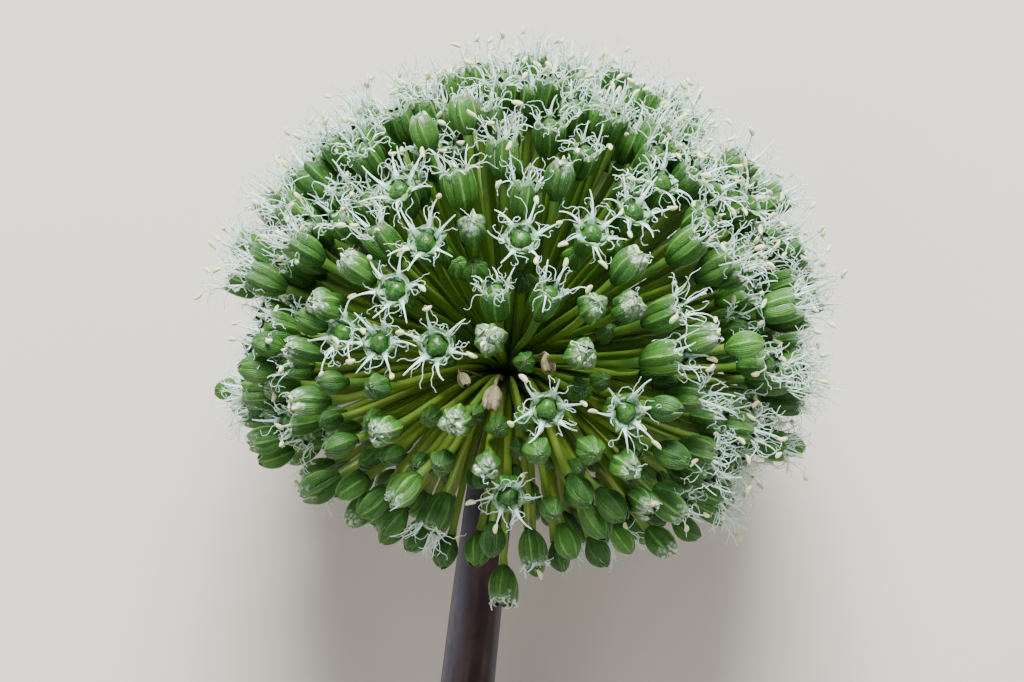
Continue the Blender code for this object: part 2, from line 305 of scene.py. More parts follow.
def spoke(phi):
    """A unit vector square to a cup's axis."""
    return np.array([math.cos(phi), math.sin(phi), 0])


def above_floor(points):
    """Presses flat what would go under the surface."""
    points[..., 2] = np.maximum(points[..., 2], LOWEST_POINT)
    return points


# The layout, which repeats the CAD model's

def head_reach(direction):
    """How far from the receptacle a floret's tip is in a direction."""
    across, growth = direction.dot(RIGHT), direction.dot(GROWTH)
    theta = math.acos(max(-1, min(1, growth)))
    share = 0.5 * (1 + math.tanh((REACH_TURN - theta) / REACH_BLEND))
    reach = REACH_BELOW + (REACH_TOP - REACH_BELOW) * share
    return reach * (1 + FULLER_RIGHT * 2 * across * max(growth, 0))


def open_share(direction):
    """How many of the florets that face a direction are open."""
    theta = math.acos(direction.dot(GROWTH)) - OPEN_LOWER_ON_RIGHT * direction.dot(RIGHT)
    share = 0.5 * (1 + math.tanh((OPEN_TURN - theta) / OPEN_BLEND))
    return OPEN_SHARE_BELOW + (OPEN_SHARE_TOP - OPEN_SHARE_BELOW) * share


def heading(theta, phi):
    """A unit vector at theta from the head's top. phi is 0 on the right and a quarter turn in front."""
    across = RIGHT * math.cos(phi) + FRONT * math.sin(phi)
    return GROWTH * math.cos(theta) + across * math.sin(theta)


def line_of_sight(pixel):
    """The line through a pixel: its nearest point to the receptacle, from there, and its direction."""
    focal = PIXELS_PER_METRE * VIEW_DISTANCE
    ray = ACROSS * (pixel[0] - PHOTO_MIDDLE[0]) + UPWARD * (PHOTO_MIDDLE[1] - pixel[1]) - VIEW * focal
    ray.normalize()
    return CAMERA - ray * CAMERA.dot(ray), ray


def seen_at(pixel, inset, depth=1.0):
    """The near point, from the receptacle, where a pixel sees the layer that is inset from the tips."""
    nearest, ray = line_of_sight(pixel)
    point = nearest
    for _ in range(SIGHT_STEPS):
        radius = head_reach(point.normalized()) * depth - inset
        point = nearest - ray * math.sqrt(max(radius**2 - nearest.length_squared, 0))
    return point


def leaning(direction, lean):
    """Turns a direction away from the camera by the lean, or until it lies square to the view."""
    toward = math.acos(direction.dot(VIEW))
    turned = min(toward + lean, max(toward, math.pi / 2))
    outward = (direction - VIEW * direction.dot(VIEW)).normalized()
    return VIEW * math.cos(turned) + outward * math.sin(turned)


def middle_inset(is_open):
    """How far the middle of a floret's cup is behind its tip."""
    return CAD_STAMEN_REACH + CAD_CUP_LENGTH / 2 if is_open else CAD_BUD_LENGTH / 2


def photographed_sites(draw):
    """The florets that the photograph shows: each cup's middle, axis and turn, if it is open, its pixel."""
    sites = []
    for pixels, is_open, lean in (
        (FLOWERS, True, 0), (LEANING_FLOWERS, True, LEAN), (BUDS, False, 0), (LEANING_BUDS, False, LEAN)
    ):
        for pixel in pixels:
            middle = seen_at(pixel, middle_inset(is_open))
            axis = leaning(middle.normalized(), lean)
            sites.append((middle, axis, draw.uniform(0, math.tau), is_open, pixel))
    nearest, ray = line_of_sight(LONE_BUD)
    lone = nearest - ray * LONE_BUD_DEPTH
    sites.append((lone, lone.normalized(), 0, False, LONE_BUD))
    return sites


def spiral(draw, count):
    """Directions spread evenly over the head."""
    directions = []
    for i in range(count):
        cosine = 1 - (1 - math.cos(LOWEST_FLORET)) * (i + 0.5) / count
        theta = math.acos(cosine) + draw.uniform(-1, 1) * TILT_SPREAD
        phi = i * GOLDEN_ANGLE + draw.uniform(-1, 1) * TILT_SPREAD / math.sin(theta)
        directions.append(heading(theta, phi))
    return directions


def clear_of_scape(direction):
    """Keeps a direction from pointing further down than the lowest florets."""
    lowest = math.cos(LOWEST_FLORET)
    growth = direction.dot(GROWTH)
    if growth >= lowest:
        return direction
    across = (direction - GROWTH * growth).normalized()
    return GROWTH * lowest + across * math.sin(LOWEST_FLORET)


def spaced_out(free, fixed):
    """Moves the free directions apart from each other and from the fixed ones."""
    for _ in range(SPACING_STEPS):
        everything = free + fixed
        moved = []
        for one in free:
            push = Vector()
            for other in everything:
                gap = one - other
                if 0 < gap.length < SPACING_REACH:
                    push += gap / gap.length_squared
            moved.append(clear_of_scape((one + push * SPACING_PUSH).normalized()))
        free = moved
    return free


def floret_sites():
    """Every floret of the CAD model, in its order."""
    draw = random.Random(SEED)
    sites = photographed_sites(draw)
    fixed = [site[0].normalized() for site in sites]
    free = spiral(draw, FLORETS)
    for direction in fixed:
        free.remove(max(free, key=direction.dot))
    for direction in spaced_out(free, fixed):
        reach = head_reach(direction) + draw.uniform(-REACH_SHORT, REACH_LONG)
        is_open = draw.random() < open_share(direction)
        if direction.z < 0:
            reach = min(reach, (RECEPTACLE.z + PRESS) / -direction.z)
        middle = direction * (reach - middle_inset(is_open))
        sites.append((middle, direction, draw.uniform(0, math.tau), is_open, None))
    return sites


# What each floret is like

class Floret:
    """One floret: where its cup is and points, how far it has opened, and how large and bright it is.

    half_angles are half the widths of an outer and an inner tepal, blunt is where its tip rounds off, and
    groove is how far its edges sink in. anthers is the share of the stamens that keep theirs, spread is how
    far they lean, in degrees, and reach is their length past the cup.
    """

    def __init__(self, middle, axis, opened, size, tint, draw):
        self.axis, self.opened, self.size, self.tint = axis, opened, size, tint
        self.is_flower, self.is_opening = opened > FLOWER_FROM, OPENING_FROM < opened <= FLOWER_FROM
        fully_out = opened > FULLY_OUT_FROM
        if self.is_flower:
            radius, self.pale = FLOWER_RADIUS, 0.12 if fully_out else 0.6
            half_angles, self.blunt = (draw.uniform(37, 43), draw.uniform(34, 39)), 0.76
            self.groove = (0.16, 0.10)
        elif self.is_opening:
            radius, self.pale = OPENING_RADIUS, opened * 1.5
            half_angles, self.blunt = (draw.uniform(42, 50), 60), 0.80
            self.groove = (0.18, 0.14)
        else:
            radius, self.pale = BUD_RADIUS, 0
            half_angles, self.blunt = (draw.uniform(44, 54), 60), 0.84
            self.groove = (0.14, 0.05)
        self.length, self.radius = CUP_LENGTH * size, radius * size
        self.half_angles = tuple(math.radians(angle) for angle in half_angles)
        self.base = middle - axis * (self.length * MM / 2)
        self.rows = 16 if size > 0.75 else 12
        self.twist = draw.uniform(-0.2, 0.2)
        aside = 1 - abs(axis.dot(VIEW))
        self.anthers, self.spread, self.flare = 0.28, (4, 50 - 16 * aside), 0
        self.reach = (1.4 + 0.8 * aside, 2.7 + 1.3 * aside) if fully_out else (0.4, 1.1)
        self.threads = 3 if aside > 0.55 and fully_out else 2
        turn = draw.uniform(0, math.tau)
        side = axis.orthogonal().normalized()
        side = side * math.cos(turn) + axis.cross(side) * math.sin(turn)
        self.frame = np.array([side, axis.cross(side), axis]).T

    def open_wide(self):
        """Makes it one of the flowers that face the camera, whose stamens spread and keep their anthers."""
        self.anthers, self.spread, self.reach, self.flare = 0.5, (48, 92), (1.8, 3.0), 1

    def place(self, grid):
        """Takes a grid in millimetres, with its third number along the cup, to its place on the head."""
        return above_floor(np.asarray(RECEPTACLE + self.base) + (grid @ self.frame.T) * MM)


def left_pull(direction):
    """How far a floret at the head's left edge is drawn in."""
    sideways = max(0, min(1, (-direction.dot(ACROSS) - LEFT_FROM) / LEFT_BLEND))
    return LEFT_PULL * sideways * math.exp(-(((direction.dot(UPWARD) - LEFT_HEIGHT) / LEFT_BAND) ** 2))


def visible_florets(draw):
    """The CAD model's florets, with how far each has opened."""
    florets = []
    for middle, axis, _, is_open, pixel in floret_sites():
        if pixel is None:
            middle = middle - axis * left_pull(axis)
        if is_open or (pixel is None and axis.dot(GROWTH) > OPEN_ABOVE):
            opened, ranges = draw.uniform(*OPENED_FLOWER), FLOWER_RANGES
        elif WHITE_TIPS.get(pixel):
            opened, ranges = WHITE_TIPS[pixel], WHITE_TIPPED_RANGES
        elif pixel or draw.random() < SHUT_SHARE:
            opened, ranges = 0, SHUT_RANGES
        else:
            opened, ranges = draw.uniform(*OPENED_BUD), OPENING_RANGES
        size, tint = (draw.uniform(*pair) for pair in ranges)
        if not opened and pixel in BUDS:
            tint *= FACING_SHUT_TINT
        florets.append(Floret(middle, axis, opened, size, tint, draw))
        if pixel in FLOWERS:
            florets[-1].open_wide()
    return florets


def young_florets(draw):
    """Small closed buds on shorter stalks, between and below the others."""
    florets = []
    for pixel in YOUNG_BUDS:
        middle = seen_at(pixel, CAD_BUD_LENGTH / 2, YOUNG_DEPTH)
        size, tint = (draw.uniform(*pair) for pair in YOUNG_RANGES)
        florets.append(Floret(middle, middle.normalized(), 0, size, tint, draw))
    gap, ray = line_of_sight(HOLLOW)
    for direction in spiral(draw, FILLING):
        depth = draw.uniform(*FILLING_DEPTHS)
        share = (depth - FILLING_DEPTHS[0]) / (FILLING_DEPTHS[1] - FILLING_DEPTHS[0])
        size = FILLING_SIZES[0] + share * (FILLING_SIZES[1] - FILLING_SIZES[0])
        middle = direction * (head_reach(direction) * depth - left_pull(direction))
        aside = middle - gap
        aside -= ray * aside.dot(ray)
        tint = draw.uniform(*FILLING_TINTS)
        if aside.length > HOLLOW_RADIUS or direction.dot(VIEW) < 0:
            florets.append(Floret(middle, direction, 0, size, tint, draw))
    return florets


def more_flowers(draw, others):
    """Open florets a little below the outermost, where no other floret points the same way."""
    florets = []
    taken = [floret.axis for floret in others]
    for direction in spiral(draw, MORE_FLOWERS):
        depth, size = draw.uniform(*MORE_DEPTHS), draw.uniform(*MORE_SIZES)
        if direction.dot(GROWTH) < math.cos(MORE_LOWEST) or direction.dot(VIEW) > math.cos(MORE_OFF_VIEW):
            continue
        if max(direction.dot(axis) for axis in taken) > math.cos(MORE_APART):
            continue
        depth = min(depth + MORE_AT_TOP * max(0, direction.dot(GROWTH)) ** 4, MORE_DEPTH_MOST)
        reach = head_reach(direction) * depth - left_pull(direction)
        if direction.z < 0:
            reach = min(reach, RECEPTACLE.z * MORE_NEAREST_FLOOR / -direction.z)
        middle = direction * (reach - middle_inset(True))
        opened = 0.85 if direction.dot(GROWTH) > OPEN_ABOVE else 0.3
        if draw.random() < open_share(direction):
            opened = draw.uniform(*OPENED_FLOWER)
        florets.append(Floret(middle, direction, opened, size, draw.uniform(*MORE_TINTS), draw))
    return florets


# The shapes of one floret, in millimetres, with the third number along its cup

def tepal(floret, number, draw):
    """One of the six boat-shaped leaves of a cup, t along and s across. The odd ones are the inner three."""
    inner, folded = number % 2, number % 2 and not floret.is_flower
    t = np.linspace(0, 1, floret.rows)[:, None] ** 0.9
    s = np.linspace(-1, 1, TEPAL_COLUMNS)[None, :]
    opened = min(1, floret.opened * draw.uniform(0.9, 1.1)) * (0.5 if folded else 1)
    shut_radius, open_radius = (np.interp(t, STEPS_ALONG, p) for p in (SHUT_PROFILE, OPEN_PROFILE))
    profile = shut_radius + (open_radius - shut_radius) * opened
    blunt = 0.93 if folded else floret.blunt
    taper = np.sqrt(np.clip(1 - (np.clip(t - blunt, 0, 1) / (1 - blunt)) ** 2, 0.0009, 1))
    above = np.clip((t - 0.72) / 0.28, 0, 1)
    if folded:
        profile = profile * (1 - 0.85 * above**4)
    turns = [draw.uniform(0, math.tau) for _ in range(5)]
    angle = number * math.pi / 3 + (floret.twist + draw.uniform(-0.13, 0.13)) * t**1.5
    angle = angle + s * floret.half_angles[inner] * taper * (1 + 0.07 * np.sin(7 * t + turns[0] + s))
    crumple = (1.0 if floret.is_opening else 0.4) * floret.size * above
    deep, deeper = floret.groove
    boat = 1 - (deep + deeper * t) * np.abs(s) ** 1.5 - 0.05 * s**4
    boat = boat * ((0.86 if floret.is_opening else 0.91) if folded else 0.94 if inner else 1.0)
    keel = 0.11 * np.exp(-((s / 0.2) ** 2)) * np.sin(math.pi * (0.06 + 0.88 * t))
    r = floret.radius * draw.uniform(0.96, 1.03) * profile * boat + keel * (0.6 if inner else 1)
    r = r + 0.035 * np.sin(10 * t + turns[1]) * s**2 + 0.10 * crumple * np.sin(3.6 * s + turns[2])
    hood = above**2 * floret.size * (0.05 - 0.70 * floret.flare if floret.is_flower else 0)
    uneven = 0.05 if floret.is_flower else 0.02
    z = floret.length * t * (1 + uneven * draw.uniform(-1, 1)) * (0.99 if folded else 1.0)
    z = z + 0.16 * crumple * np.sin(5 * s + turns[3]) - (0.12 - 0.9 * floret.flare) * hood
    r = r - hood * (1 - 0.4 * s**2)
    pale = floret.pale * (0.8 if folded else 1)
    return marked(revolved(r, angle, z), np.abs(s), t, floret.tint, pale)


def tube(path, across, half_width, half_thickness, sides):
    """A tube of any flatness along a path, whose width lies towards across."""
    tangent = np.gradient(path, axis=0)
    tangent /= np.linalg.norm(tangent, axis=1, keepdims=True) + 1e-12
    across = np.broadcast_to(across, path.shape)
    wide = across - tangent * np.sum(across * tangent, axis=1, keepdims=True)
    wide /= np.linalg.norm(wide, axis=1, keepdims=True) + 1e-12
    thin = np.cross(tangent, wide)
    angle = math.tau * np.arange(sides) / sides
    offset = wide[:, None] * (half_width[:, None] * np.cos(angle))[..., None]
    offset = offset + thin[:, None] * (half_thickness[:, None] * np.sin(angle))[..., None]
    return path[:, None] + offset


def bezier(control, count):
    """Points along a curve with three or four control points."""
    t = np.linspace(0, 1, count)[:, None]
    degree = len(control) - 1
    return sum(
        math.comb(degree, i) * (1 - t) ** (degree - i) * t**i * np.asarray(point, float)
        for i, point in enumerate(control)
    )


def filament(floret, number, draw):
    """A stamen's white stalk, broad and thin at its root: its grid, its path and its side."""
    phi = number * math.pi / 3 + draw.uniform(-0.14, 0.14)
    out = spoke(phi)
    side = np.array([-math.sin(phi), math.cos(phi), 0])
    up = np.array([0, 0, 1])
    spread = math.radians(draw.uniform(*floret.spread))
    free = draw.uniform(*floret.reach) * floret.size
    bend = draw.uniform(-0.9, 0.9)
    wide = floret.flare
    if not wide and draw.random() < 0.25:
        spread += math.radians(65)
        free *= 0.7
    root = out * floret.radius * (0.50 + 0.08 * wide) + up * floret.length * (0.70 + 0.10 * wide)
    mouth = out * floret.radius * (0.82 + 0.14 * wide) + up * floret.length * 0.93
    tip = mouth + (out * math.sin(spread) + up * math.cos(spread)) * free + side * bend
    tip = tip + up * draw.uniform(-0.2, 0.3)
    elbow = mouth + up * draw.uniform(0.5, 0.8) * (1 - 0.4 * wide) * free
    elbow = elbow + out * (draw.uniform(-0.1, 0.2) + 0.4 * wide) * free
    t = np.linspace(0, 1, 11)
    path = bezier((root, mouth, elbow, tip), len(t))
    broad = FILAMENT_WIDTHS[number % 2]
    width = np.interp(t, (0, 0.2, 0.42, 0.6, 1), (broad, broad * 0.7, 0.18, 0.12, 0.065)) * floret.size
    thickness = np.interp(t, (0, 0.55, 1), (0.06, 0.07, 0.05)) * floret.size
    grid = tube(path, side, width, thickness, 6)
    return marked(grid, 0, t[:, None], floret.tint, draw.random()), path, side


def thread(start, toward, length, kinks, draw):
    """One of the long side threads of a stamen, which crinkles and curls up as it dries."""
    steps = 25
    toward = toward / np.linalg.norm(toward)
    share = np.linspace(0, 1, steps)
    waves, start_turn = draw.uniform(1.2, 1.9), draw.uniform(0, math.tau)
    knots = np.linspace(0, 1, 9)
    spin, roll = (
        np.interp(share, knots, [draw.uniform(-1, 1) for _ in knots]) * (0.3 + share) for _ in range(2)
    )
    beside = np.cross(toward, (0.31, 0.73, 0.61))
    beside /= np.linalg.norm(beside)
    path = [start]
    for i in range(steps - 1):
        above = np.cross(toward, beside)
        crinkle = beside * math.sin(start_turn + i * waves) * min(0.75, share[i] * 1.5)
        toward = toward + (beside * spin[i] + above * roll[i] + crinkle) * kinks
        toward /= np.linalg.norm(toward)
        beside = beside - toward * np.dot(beside, toward)
        beside /= np.linalg.norm(beside)
        path.append(path[-1] + toward * (length / steps))
    radius = np.interp(share, (0, 0.3, 1), THREAD_RADII)
    grid = tube(np.array(path), np.array((0.3, -0.5, 0.8)), radius, radius, 3)
    return marked(grid, 0.5, share[:, None], 0.5, draw.random())


def anther(centre, direction, draw, size=1.0):
    """A pollen sac: a plump grooved bean, held across or along the filament's tip."""
    v, u = np.linspace(0.02, math.pi - 0.02, 8)[:, None], round_steps(9)
    half, thick = draw.uniform(*ANTHER_LENGTH) * size, draw.uniform(*ANTHER_RADIUS) * size
    groove = 1 - 0.20 * np.exp(-((np.cos(u) - 1) ** 2) / 0.12)
    x = thick * np.sin(v) * np.cos(u) * groove
    y = thick * np.sin(v) * np.sin(u)
    z = half * np.cos(v) + 0 * u
    x = x + 0.14 * (z / half) ** 2
    tilt = Vector([draw.uniform(-1, 1) for _ in range(3)]) * draw.uniform(0.2, 1.4)
    axis = (Vector(direction) + tilt).normalized()
    across = axis.orthogonal().normalized()
    basis = np.array([across, axis.cross(across), axis])
    grid = centre + np.stack([x, y, z], axis=-1) @ basis
    return marked(grid, 0, v / math.pi, draw.random(), draw.random())


def lining(floret):
    """The ring of joined filament roots between the ovary and the tepals."""
    t, u = np.linspace(0, 1, 4)[:, None], round_steps(24)
    r = floret.radius * (0.52 + 0.04 * floret.flare + (0.32 + 0.06 * floret.flare) * t)
    z = floret.length * (0.74 + 0.02 * floret.flare + 0.12 * t * (1 + 0.3 * np.cos(6 * u)))
    return marked(revolved(r, u, z), 0, 0.12 * t, floret.tint, 0.5)


def ovary(floret):
    """The three-lobed green ovary that fills the mouth of an open cup."""
    v, u = np.linspace(0.01, math.pi * 0.8, 10)[:, None], round_steps(21)
    lobes = 1 - 0.20 * np.abs(np.cos(1.5 * u)) ** 5 * np.sin(v) ** 0.5
    dimple = 1 - 0.08 * np.exp(-((v / 0.3) ** 2))
    r = OVARY_RADIUS * floret.size * lobes * np.sin(v)
    z = 1.25 * floret.size * np.cos(v) * dimple + floret.length * 0.74
    return marked(revolved(r, u, z), 0, v / math.pi, floret.tint, 0.5)


def kernel(floret):
    """The folded stamens and the young ovary that fill a bud, seen only between the tips of its tepals."""
    t = np.array((0.50, 0.62, 0.72, 0.80, 0.86, 0.91, 0.95, 0.97))[:, None]
    shares = np.array((0.74, 0.73, 0.68, 0.60, 0.50, 0.37, 0.20, 0.01))[:, None]
    u = round_steps(18)
    r = floret.radius * shares * (1 + 0.06 * np.cos(6 * u))
    return marked(revolved(r, u, floret.length * t), 0.5, t, floret.tint, floret.pale)


def stalk(floret, draw):
    """The floret's stalk, from the dome of the receptacle to its cup, in the plant's own place."""
    tip = floret.base
    outward = tip.normalized()
    theta = math.acos(max(-1, min(1, outward.dot(GROWTH))))
    across = (outward - GROWTH * outward.dot(GROWTH)).normalized()
    rooted = min(theta * 0.78, math.radians(112))
    rise = GROWTH * math.cos(rooted) + across * math.sin(rooted)
    foot = rise * DOME_RADIUS * MM * 0.9
    length = (tip - foot).length
    sway = Vector([draw.uniform(-1, 1) for _ in range(3)]) * length * 0.03
    control = (foot, foot + rise * length * 0.3 + sway, tip - floret.axis * length * 0.22 + sway, tip)
    t = np.linspace(0, 1, 13)
    path = bezier(control, len(t)) / MM
    low, middle, high = (r * (0.62 + 0.38 * floret.size) for r in STALK_RADII)
    radius = np.interp(t, (0, 0.35, 0.9), (low, middle, high))
    radius[-1] *= 1.25
    grid = tube(path, np.array(floret.axis.orthogonal()), radius, radius, 8)
    points = above_floor(np.asarray(RECEPTACLE) + grid * MM)
    lowness = np.clip((theta - math.radians(65)) / math.radians(60), 0, 1)
    return marked(points, lowness, t[:, None], floret.tint, draw.random())


# The pieces

def new_object(name, data):
    obj = bpy.data.objects.new(name, data)
    bpy.context.scene.collection.objects.link(obj)
    return obj


def piece(name, patches, material, node="umbel"):
    """Makes one piece of patches, which rides on the plant's only body and stands for a CAD node."""
    obj = new_object(name, patches.mesh(name))
    obj.data.materials.append(material)
    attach(obj, "root")
    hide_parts(node)


class Groups:
    """Patches shared out over several pieces of one kind, so that each piece has a map with room enough."""

    def __init__(self, name, count):
        self.name = name
        self.patches = [Patches() for _ in range(count)]

    def add(self, index, shape, around=True):
        self.patches[index % len(self.patches)].add(*shape, around)

    def pieces(self, material):
        for i, patches in enumerate(self.patches):
            name = f"{self.name}_{i + 1}" if len(self.patches) > 1 else self.name
            piece(name, patches, material)


def placed(floret, shape):
    grid, marks = shape
    return floret.place(grid), marks


def add_stamens(floret, index, groups, draw):
    """Six stamens with their crinkled side threads. Some have lost their anthers."""
    for number in range(TEPALS):
        shape, path, side = filament(floret, number, draw)
        groups["filaments"].add(index, placed(floret, shape))
        direction = path[-1] - path[-3]
        direction /= np.linalg.norm(direction)
        for way in (-1, 1, 0.2)[: floret.threads + number % 2]:
            start = path[3] + side * way * 0.26 * floret.size
            toward = (path[7] - path[3]) + side * way * draw.uniform(0.3, 1.2)
            length = draw.uniform(0.45, 0.9) * sum(floret.reach)
            kinks = draw.uniform(0.35, 0.75) * (1.6 - 0.3 * floret.threads)
            curl = thread(start, toward, length, kinks, draw)
            groups["threads"].add(index, placed(floret, curl))
        if draw.random() < floret.anthers:
            bean = anther(path[-1] + direction * 0.12, direction, draw)
            groups["anthers"].add(index, placed(floret, bean))


def add_tuft(floret, index, groups, draw):
    """What shows at the mouth of a bud that is just opening: folded white threads and the anthers."""
    top = np.array([0, 0, floret.length * 0.95])
    for _ in range(TUFT_THREADS):
        phi = draw.uniform(0, math.tau)
        out = spoke(phi)
        start = top + out * draw.uniform(0.3, 0.8) * floret.size
        toward = out + np.array([0, 0, draw.uniform(-0.1, 0.8)])
        curl = thread(start, toward, draw.uniform(0.8, 2.2), 0.6, draw)
        groups["threads"].add(index, placed(floret, curl))
    count = round(max(0, floret.opened - 0.32) * 14)
    for number in range(count):
        phi = (number + draw.uniform(-0.3, 0.3)) * math.tau / count
        out = spoke(phi)
        centre = top + out * draw.uniform(0.3, 1.0) * floret.size
        bean = anther(centre, out + np.array([0, 0, 0.8]), draw, draw.uniform(0.7, 0.95))
        groups["anthers"].add(index, placed(floret, bean))


GROUPS = {"tepals": 12, "stalks": 4, "filaments": 4, "threads": 5, "anthers": 2, "ovaries": 1}


def flower_head(looks):
    """Every floret with its stalk, shared out over the pieces."""
    draw = random.Random(SEED + 1)
    florets = visible_florets(draw)
    florets += more_flowers(draw, florets) + young_florets(draw)
    groups = {name: Groups(name, count) for name, count in GROUPS.items()}
    for index, floret in enumerate(florets):
        for number in range(TEPALS):
            shape = placed(floret, tepal(floret, number, draw))
            groups["tepals"].add(index, shape, around=False)
        groups["stalks"].add(index, stalk(floret, draw))
        if floret.is_flower:
            groups["ovaries"].add(index, placed(floret, ovary(floret)))
            groups["filaments"].add(index, placed(floret, lining(floret)))
            add_stamens(floret, index, groups, draw)
        else:
            groups["tepals"].add(index, placed(floret, kernel(floret)))
        if floret.is_opening:
            add_tuft(floret, index, groups, draw)
    for name, group in groups.items():
        group.pieces(looks[name])


def withered_florets(looks):
    """The few dried florets near the middle, each hanging from a thin bent stalk."""
    draw = random.Random(SEED + 2)
    heads, stems = Patches(), Patches()
    for pixel, bend_pixel, size, depth in WITHERED:
        middle = seen_at(pixel, 0, depth)
        bend = seen_at(bend_pixel, 0, depth * 0.98)
        axis = (middle - bend).normalized()
        floret = Floret(middle, axis, 0.8, size * 0.52, 0.5, draw)
        floret.length, floret.radius = WITHERED_LENGTH * size, WITHERED_RADIUS * size
        floret.blunt, floret.groove = 0.84, (0.12, 0.04)
        floret.base = middle - axis * (floret.length * MM / 2)
        for number in range(TEPALS):
            heads.add(*placed(floret, tepal(floret, number, draw)), around=False)
        foot = bend.normalized() * DOME_RADIUS * MM
        t = np.linspace(0, 1, 14)
        path = bezier((foot, bend * 0.7, bend * 1.03, floret.base), len(t)) / MM
        radius = np.full(len(t), WITHERED_STALK_RADIUS * size)
        grid = tube(path, np.array(RIGHT), radius, radius, 6)
        stems.add(*marked(np.asarray(RECEPTACLE) + grid * MM, 0, t[:, None], 0.5, 0.5))
    piece("withered_florets", heads, looks["withered"])
    piece("withered_stalks", stems, looks["withered"])


def receptacle(looks):
    """The small dome that the stalks stand on, with the worn ring that the sheath left below it."""
    patches = Patches()
    v, u = np.linspace(0.02, 1, 22)[:, None], round_steps(40)
    radius, height = (np.interp(v, DOME_STEPS, outline) for outline in (DOME_RADII, DOME_HEIGHTS))
    radius = radius * (1 + 0.03 * np.sin(7 * u + 9 * v) * np.sin(math.pi * v))
    grid = revolved(radius, u, height) @ np.array([RIGHT, FRONT, GROWTH]) * MM
    patches.add(*marked(np.asarray(RECEPTACLE) + grid, 0, v, 0.5, 0.5))
    piece("receptacle", patches, looks["stalks"])


def scape_ring(share, radius_share, columns):
    """A ring of points round the scape at a share of its length, as the CAD model runs."""
    along = SCAPE_TOP_BELOW_RECEPTACLE + share * (SCAPE_LENGTH - SCAPE_TOP_BELOW_RECEPTACLE)
    radius = (SCAPE_TOP_RADIUS + (SCAPE_END_RADIUS - SCAPE_TOP_RADIUS) * share) * radius_share
    centre = np.asarray(RECEPTACLE + RIGHT * SCAPE_BOW * share**2 - GROWTH * along)
    angle = math.tau * np.arange(columns) / columns
    ridge = 1 + 0.012 * np.sin(5 * angle + 3 * share) + 0.006 * np.sin(13 * angle)
    around = np.outer(np.cos(angle) * ridge, RIGHT) + np.outer(np.sin(angle) * ridge, FRONT)
    return above_floor(centre + around * radius)


def scape(looks):
    """The stem's skin, and the pale flesh of its cut end."""
    rows, columns = 70, 48
    skin, flesh = Patches(), Patches()
    shares = np.linspace(0, 1, rows)
    grid = np.stack([scape_ring(share, 1.0, columns) for share in shares])
    leftness = 0.5 - 0.5 * np.cos(math.tau * np.arange(columns) / columns)
    skin.add(*marked(grid, leftness, shares[:, None], 0.5, 0.5))
    radii = (1.0, 0.985, 0.93, 0.8, 0.6, 0.4, 0.2, 0.02)
    dips = (0, 0.05, 0.12, 0.10, 0.14, 0.20, 0.26, 0.28)
    cut = [scape_ring(1.0, r, columns) + np.asarray(GROWTH) * dip * MM for r, dip in zip(radii, dips)]
    share = np.array(radii)[:, None]
    flesh.add(*marked(np.stack(cut), share, share, 0.5, 0.5))
    piece("scape_skin", skin, looks["scape"], "scape")
    piece("scape_cut", flesh, looks["cut"], "scape")


# The materials

class Nodes:
    """A material's node tree, with short calls for the nodes that these materials use."""

    def __init__(self, name, roughness, **values):
        self.material = bpy.data.materials.new(name)
        self.material.use_nodes = True
        self.tree = self.material.node_tree
        self.shader = self.tree.nodes["Principled BSDF"]
        self.fill(self.shader, Roughness=roughness, **values)
        self.position = self.new("TexCoord").outputs["Object"]
        marks = self.new("Attribute")
        marks.attribute_name = "marks"
        parts = self.new("SeparateColor", Color=marks.outputs["Color"])
        self.edge, self.along, self.tint = (parts.outputs[i] for i in range(3))
        self.pale = marks.outputs["Alpha"]

    def put(self, socket, value):
        """Sets a socket to a number or a colour, or joins it to another node's output."""
        if hasattr(value, "is_output"):
            self.tree.links.new(value, socket)
        else:
            socket.default_value = value

    def fill(self, node, **values):
        """Puts values in a node's sockets, whose names have _ for each space."""
        for socket, value in values.items():
            self.put(node.inputs[socket.replace("_", " ")], value)

    def new(self, kind, **values):
        node = self.tree.nodes.new("ShaderNode" + kind)
        self.fill(node, **values)
        return node

    def math(self, operation, first, second=0.0):
        """A sum of one or two values. A value is a number or another node's output."""
        node = self.new("Math")
        node.operation = operation
        self.put(node.inputs[0], first)
        self.put(node.inputs[1], second)
        return node.outputs[0]

    def plus(self, first, second):
        return self.math("ADD", first, second)

    def times(self, first, second):
        return self.math("MULTIPLY", first, second)

    def ramp(self, value, low, high, first=0.0, last=1.0):
        """Runs smoothly from first to last as the value goes from low to high."""
        node = self.new("MapRange", Value=value, From_Min=low, From_Max=high, To_Min=first, To_Max=last)
        node.interpolation_type = "SMOOTHSTEP"
        return node.outputs[0]

    def mix(self, share, first, second):
        node = self.new("Mix")
        node.data_type = "RGBA"
        self.put(node.inputs[0], share)
        for socket, colour in ((node.inputs[6], first), (node.inputs[7], second)):
            self.put(socket, (*colour, 1) if isinstance(colour, tuple) else colour)
        return node.outputs[2]

    def noise(self, scale, detail=3.0, stretch=None):
        """Cloudy noise, which a stretch draws out along the plant's growth."""
        place = self.position
        if stretch:
            node = self.new("Mapping", Vector=place, Rotation=(SLOPE, 0, 0), Scale=(1, stretch, 1))
            node.vector_type = "TEXTURE"
            place = node.outputs[0]
        return self.new("TexNoise", Scale=scale, Detail=detail, Vector=place).outputs[0]

    def cells(self, scale):
        """The distance to the nearest of many scattered points."""
        return self.new("TexVoronoi", Scale=scale, Vector=self.position).outputs["Distance"]

    def bump(self, height, distance, strength=1.0):
        node = self.new("Bump", Height=height, Distance=distance, Strength=strength)
        self.put(self.shader.inputs["Normal"], node.outputs[0])

    def finish(self, colour, roughness=None):
        self.put(self.shader.inputs["Base Color"], colour)
        if roughness is not None:
            self.put(self.shader.inputs["Roughness"], roughness)
        return self.material


